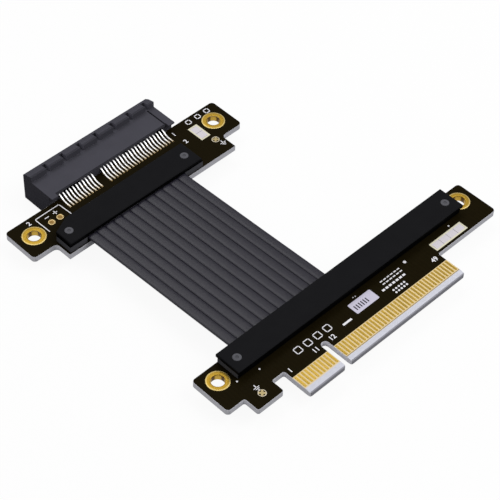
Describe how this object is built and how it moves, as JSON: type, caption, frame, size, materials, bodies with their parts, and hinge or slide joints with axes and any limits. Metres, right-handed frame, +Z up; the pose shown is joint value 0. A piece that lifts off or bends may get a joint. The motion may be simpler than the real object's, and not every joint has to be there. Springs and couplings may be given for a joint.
{
  "type": "expansion slot extension cable",
  "caption": "Flat ribbon extension cable from a keyed edge-connector board to a board-edge card socket, with black covers over the cable joints and plated screw holes.",
  "frame": {"origin": "middle of the underside of the whole part, on the plane that the socket housing lies on", "axes": "+Z up through the boards, +Y along the ribbon from the edge tongue to the socket's mouth, +X along the connectors"},
  "size_m": [0.0908, 0.0916, 0.0089],
  "materials": {
    "solder_mask": "black solder mask over glass-epoxy laminate, pale at the cut edges",
    "housing_plastic": "dark grey glass-filled moulding",
    "gold_plating": "gold-plated copper",
    "tinned_pad": "tinned copper",
    "contact_metal": "tin-plated spring alloy",
    "wire_metal": "bare copper, soldered",
    "cover_plastic": "black moulding with a fine satin grain",
    "rivet_plastic": "grey moulded rivet",
    "ribbon_jacket": "dark grey extruded strip jacket"
  },
  "bodies": {
    "root": {"edge_board": "solder_mask", "socket_board": "solder_mask", "socket_housing": "housing_plastic", "edge_fingers_upper": "gold_plating", "edge_fingers_lower": "gold_plating", "edge_hole_plating": "gold_plating", "socket_hole_plating": "gold_plating", "edge_ground_pad": "gold_plating", "socket_ground_pad": "gold_plating", "socket_power_pads": "gold_plating", "socket_pads_upper": "tinned_pad", "socket_pads_lower": "tinned_pad", "edge_wire_pads": "tinned_pad", "socket_wire_pads": "tinned_pad", "socket_contacts_upper": "contact_metal", "socket_contacts_lower": "contact_metal", "edge_wire_ends": "wire_metal", "socket_wire_ends": "wire_metal", "edge_cover": "cover_plastic", "socket_cover": "cover_plastic", "edge_cover_rivets": "rivet_plastic", "socket_cover_rivets": "rivet_plastic", "ribbon_strip_01": "ribbon_jacket", "ribbon_strip_02": "ribbon_jacket", "ribbon_strip_03": "ribbon_jacket", "ribbon_strip_04": "ribbon_jacket", "ribbon_strip_05": "ribbon_jacket", "ribbon_strip_06": "ribbon_jacket", "ribbon_strip_07": "ribbon_jacket", "ribbon_strip_08": "ribbon_jacket", "ribbon_strip_09": "ribbon_jacket", "ribbon_strip_10": "ribbon_jacket", "ribbon_strip_11": "ribbon_jacket", "ribbon_strip_12": "ribbon_jacket"}
  },
  "joints": []
}
